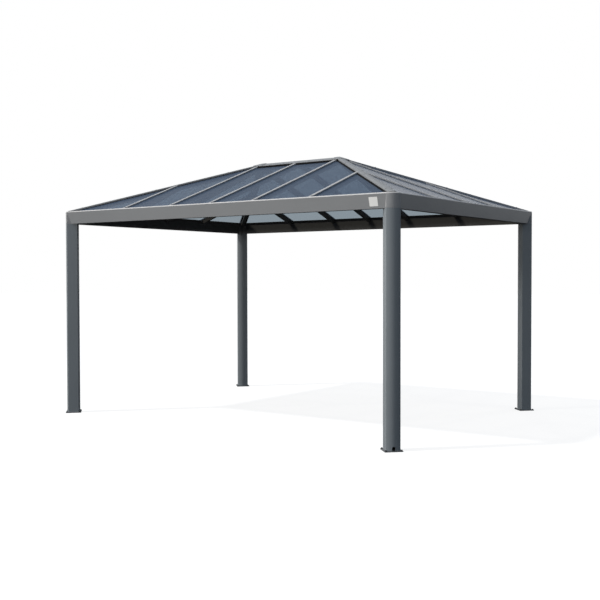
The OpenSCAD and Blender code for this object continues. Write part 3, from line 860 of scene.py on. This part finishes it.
# %% Floor
FLOOR_HALF = 60.0
WHITE = (1.0, 1.0, 1.0, 1.0)
FLOOR_LIT = (0.20, 0.20, 0.20, 1.0)
FLOOR_GLOW = 0.86
FLOOR_DULL = (0.02, 0.02, 0.02, 1.0)
floor_mesh = bpy.data.meshes.new("floor")
floor_mesh.from_pydata(
    [(-FLOOR_HALF, -FLOOR_HALF, 0), (FLOOR_HALF, -FLOOR_HALF, 0),
     (FLOOR_HALF, FLOOR_HALF, 0), (-FLOOR_HALF, FLOOR_HALF, 0)], [], [(0, 1, 2, 3)])
floor_look = bpy.data.materials.new("pale_floor")
floor_look.use_nodes = True
tree = floor_look.node_tree
tree.nodes.clear()
seen = place(tree, "ShaderNodeLightPath")
lit = place(tree, "ShaderNodeBsdfDiffuse", {"Color": FLOOR_LIT})
glow = place(tree, "ShaderNodeEmission", {"Color": WHITE, "Strength": FLOOR_GLOW})
pale = place(tree, "ShaderNodeAddShader")
dull = place(tree, "ShaderNodeBsdfDiffuse", {"Color": FLOOR_DULL})
choose = place(tree, "ShaderNodeMixShader")
output = place(tree, "ShaderNodeOutputMaterial")
either = place(tree, "ShaderNodeMath", operation="MAXIMUM")
join(tree, seen.outputs["Is Camera Ray"], either.inputs[0])
join(tree, seen.outputs["Is Transmission Ray"], either.inputs[1])
join(tree, lit.outputs["BSDF"], pale.inputs[0])
join(tree, glow.outputs["Emission"], pale.inputs[1])
join(tree, either.outputs["Value"], choose.inputs["Fac"])
join(tree, dull.outputs["BSDF"], choose.inputs[1])
join(tree, pale.outputs["Shader"], choose.inputs[2])
join(tree, choose.outputs["Shader"], output.inputs["Surface"])
floor_mesh.materials.append(floor_look)
floor = bpy.data.objects.new("floor", floor_mesh)
bpy.context.scene.collection.objects.link(floor)
print("floor of", 2 * FLOOR_HALF, "m")

# %% World
SKY_FILL = (0.315, 0.37, 0.445, 1.0)
BRIGHT_BELOW = 0.27
DULL_ABOVE = 0.42
world = bpy.data.worlds.new("studio")
bpy.context.scene.world = world
world.use_nodes = True
tree = world.node_tree
tree.nodes.clear()
seen = place(tree, "ShaderNodeLightPath")
first = place(tree, "ShaderNodeMath", operation="MAXIMUM")
second = place(tree, "ShaderNodeMath", operation="MAXIMUM")
fill = place(tree, "ShaderNodeBackground", {"Color": SKY_FILL})
white = place(tree, "ShaderNodeBackground", {"Color": WHITE})
choose = place(tree, "ShaderNodeMixShader")
output = place(tree, "ShaderNodeOutputWorld")
heading = place(tree, "ShaderNodeTexCoord")
height = place(tree, "ShaderNodeSeparateXYZ")
low_sky = place(tree, "ShaderNodeMapRange", {
    "From Min": BRIGHT_BELOW, "From Max": DULL_ABOVE, "To Min": 1.0, "To Max": 0.0})
glint = place(tree, "ShaderNodeMath", operation="MULTIPLY")
join(tree, heading.outputs["Generated"], height.inputs["Vector"])
join(tree, height.outputs["Z"], low_sky.inputs["Value"])
join(tree, low_sky.outputs["Result"], glint.inputs[0])
join(tree, seen.outputs["Is Glossy Ray"], glint.inputs[1])
join(tree, seen.outputs["Is Camera Ray"], first.inputs[0])
join(tree, glint.outputs["Value"], first.inputs[1])
join(tree, first.outputs["Value"], second.inputs[0])
join(tree, seen.outputs["Is Transmission Ray"], second.inputs[1])
join(tree, second.outputs["Value"], choose.inputs["Fac"])
join(tree, fill.outputs["Background"], choose.inputs[1])
join(tree, white.outputs["Background"], choose.inputs[2])
join(tree, choose.outputs["Shader"], output.inputs["Surface"])
print("world:", world.name)

# %% Lamps
KEY_FROM = Vector((-0.412, -0.458, 0.788))
KEY_STRENGTH = 2.7
KEY_SOFTNESS = math.radians(4)
LOW_FROM = Vector((-0.603, -0.777, 0.176))
LOW_STRENGTH = 0.90
LOW_SOFTNESS = math.radians(8)
SOFTBOX_PLACE = Vector((-0.3, -7.5, 2.07))
SOFTBOX_AIM = Vector((0.3, -1.5, 4.5))
SOFTBOX_SIZE = (3.0, 0.36)
SOFTBOX_POWER = 132.0
SIDE_BOX_PLACE = Vector((6.0, 9.0, 2.4))
SIDE_BOX_AIM = Vector((2.03, 0.0, 2.08))
SIDE_BOX_SIZE = (1.2, 0.8)
SIDE_BOX_POWER = 150.0
WARM_LIGHT = (1.0, 0.98, 0.95)
LOW_LIGHT = (1.0, 0.99, 0.97)
NEUTRAL_LIGHT = (1.0, 1.0, 1.0)


def sun(name, direction, strength, softness, colour):
    data = bpy.data.lights.new(name, "SUN")
    data.energy = strength
    data.angle = softness
    data.color = colour
    lamp = bpy.data.objects.new(name, data)
    lamp.rotation_euler = direction.to_track_quat("Z", "Y").to_euler()
    bpy.context.scene.collection.objects.link(lamp)


def soft_box(name, spot, aim, size, power, colour):
    data = bpy.data.lights.new(name, "AREA")
    data.shape = "RECTANGLE"
    data.size, data.size_y = size
    data.energy = power
    data.color = colour
    lamp = bpy.data.objects.new(name, data)
    lamp.location = spot
    lamp.rotation_euler = (spot - aim).to_track_quat("Z", "Y").to_euler()
    bpy.context.scene.collection.objects.link(lamp)


sun("key_light", KEY_FROM, KEY_STRENGTH, KEY_SOFTNESS, WARM_LIGHT)
sun("low_light", LOW_FROM, LOW_STRENGTH, LOW_SOFTNESS, LOW_LIGHT)
soft_box("softbox", SOFTBOX_PLACE, SOFTBOX_AIM, SOFTBOX_SIZE, SOFTBOX_POWER, WARM_LIGHT)
soft_box("side_box", SIDE_BOX_PLACE, SIDE_BOX_AIM, SIDE_BOX_SIZE, SIDE_BOX_POWER, NEUTRAL_LIGHT)
bpy.context.scene.view_settings.view_transform = "Standard"
print("lamps:", KEY_STRENGTH, LOW_STRENGTH, SOFTBOX_POWER)
